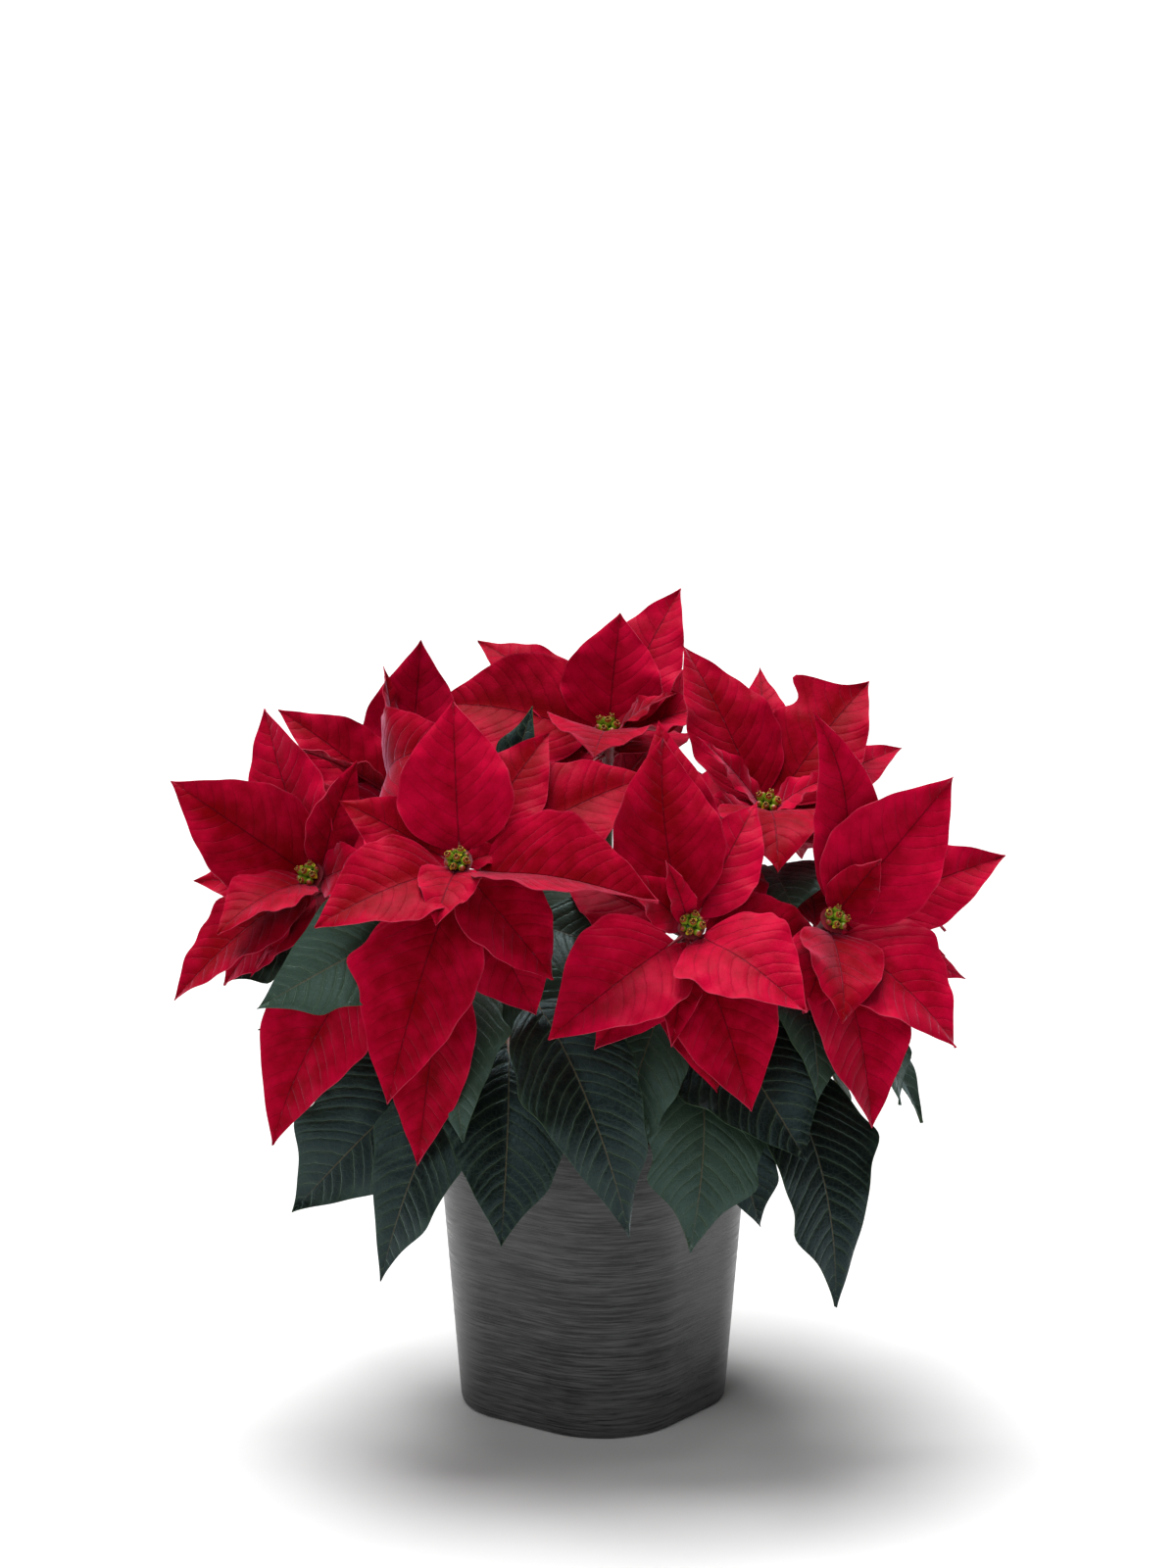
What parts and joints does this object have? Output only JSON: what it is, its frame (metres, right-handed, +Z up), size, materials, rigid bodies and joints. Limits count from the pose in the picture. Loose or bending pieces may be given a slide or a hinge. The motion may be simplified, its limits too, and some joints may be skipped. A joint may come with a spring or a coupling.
{
  "type": "potted poinsettia",
  "caption": "Flowering poinsettia with large red bracts and dark green leaves, growing in a dark grey rounded-square planter.",
  "frame": {"origin": "centre of the planter's underside, on the surface that it stands on", "axes": "+Z up, -Y towards the side that the largest bracts face, +X to the right as seen from there"},
  "size_m": [0.454, 0.374, 0.452],
  "materials": {
    "pot_charcoal": "satin charcoal with fine horizontal brush streaks",
    "soil": "crumbly dark potting soil",
    "woody_stem": "green-brown, matt, with leaf scars",
    "leaf_green": "dark green leaf with a bluish sheen and pale veins",
    "bract_red": "velvety red bract with darker veins",
    "cyathium_green": "yellow-green bud with red flecks"
  },
  "bodies": {
    "root": {"pot": "pot_charcoal", "soil": "soil", "main_stem_left": "woody_stem", "main_stem_right": "woody_stem", "main_stem_back": "woody_stem", "leafy_stem_front_left": "leaf_green", "bracts_front_left": "bract_red", "cyathia_front_left": "cyathium_green", "leafy_stem_front_right": "leaf_green", "bracts_front_right": "bract_red", "cyathia_front_right": "cyathium_green", "leafy_stem_right": "leaf_green", "bracts_right": "bract_red", "cyathia_right": "cyathium_green", "leafy_stem_upper_right": "leaf_green", "bracts_upper_right": "bract_red", "cyathia_upper_right": "cyathium_green", "leafy_stem_top": "leaf_green", "bracts_top": "bract_red", "cyathia_top": "cyathium_green", "leafy_stem_upper_left": "leaf_green", "bracts_upper_left": "bract_red", "cyathia_upper_left": "cyathium_green", "leafy_stem_left": "leaf_green", "bracts_left": "bract_red", "cyathia_left": "cyathium_green", "leafy_stem_back_left": "leaf_green", "bracts_back_left": "bract_red", "cyathia_back_left": "cyathium_green", "leafy_stem_back": "leaf_green", "bracts_back": "bract_red", "cyathia_back": "cyathium_green", "leafy_stem_back_right": "leaf_green", "bracts_back_right": "bract_red", "cyathia_back_right": "cyathium_green", "leafy_stem_side_left": "leaf_green", "bracts_side_left": "bract_red", "cyathia_side_left": "cyathium_green", "leafy_stem_side_right": "leaf_green", "bracts_side_right": "bract_red", "cyathia_side_right": "cyathium_green"}
  },
  "joints": []
}
